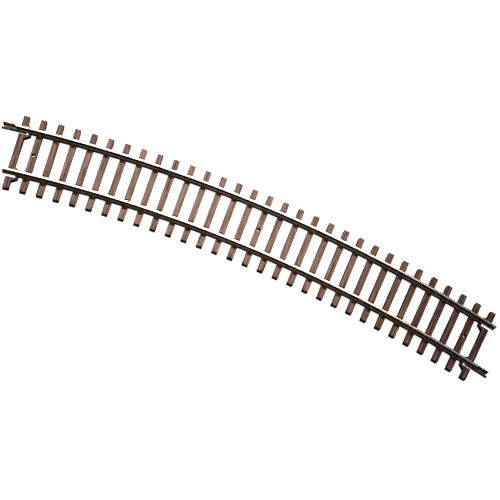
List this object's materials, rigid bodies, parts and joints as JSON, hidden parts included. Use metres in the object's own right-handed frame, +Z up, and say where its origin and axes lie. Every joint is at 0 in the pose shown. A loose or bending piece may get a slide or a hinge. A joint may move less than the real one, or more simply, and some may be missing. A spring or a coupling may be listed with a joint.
{
  "type": "model track section",
  "caption": "Curved model railway track section: metal rails clipped to a moulded tie strip, with sliding rail joiners on opposite rail ends.",
  "frame": {"origin": "middle of the bounding box, at the height of the ties' undersides", "axes": "+X along the chord of the curve, +Y away from the centre of the curve, +Z up"},
  "size_m": [0.1878, 0.0374, 0.0042],
  "materials": {
    "tie_plastic": "moulded brown plastic with wood grain",
    "rail_metal": "drawn nickel silver, bright on the head and tarnished below it",
    "joiner_metal": "folded nickel silver sheet, tarnished"
  },
  "bodies": {
    "track": {"tie_strip": "tie_plastic", "outer_rail": "rail_metal", "inner_rail": "rail_metal"},
    "outer_joiner": {"outer_rail_joiner": "joiner_metal"},
    "inner_joiner": {"inner_rail_joiner": "joiner_metal"}
  },
  "joints": [
    {"name": "outer_joiner_slide", "type": "slide", "parent": "track", "child": "outer_joiner", "axis": [-0.9808, -0.1951, 0], "range_m": [-0.0005, 0.0046]},
    {"name": "inner_joiner_slide", "type": "slide", "parent": "track", "child": "inner_joiner", "axis": [0.9808, -0.1951, 0], "range_m": [-0.0005, 0.0046]}
  ]
}
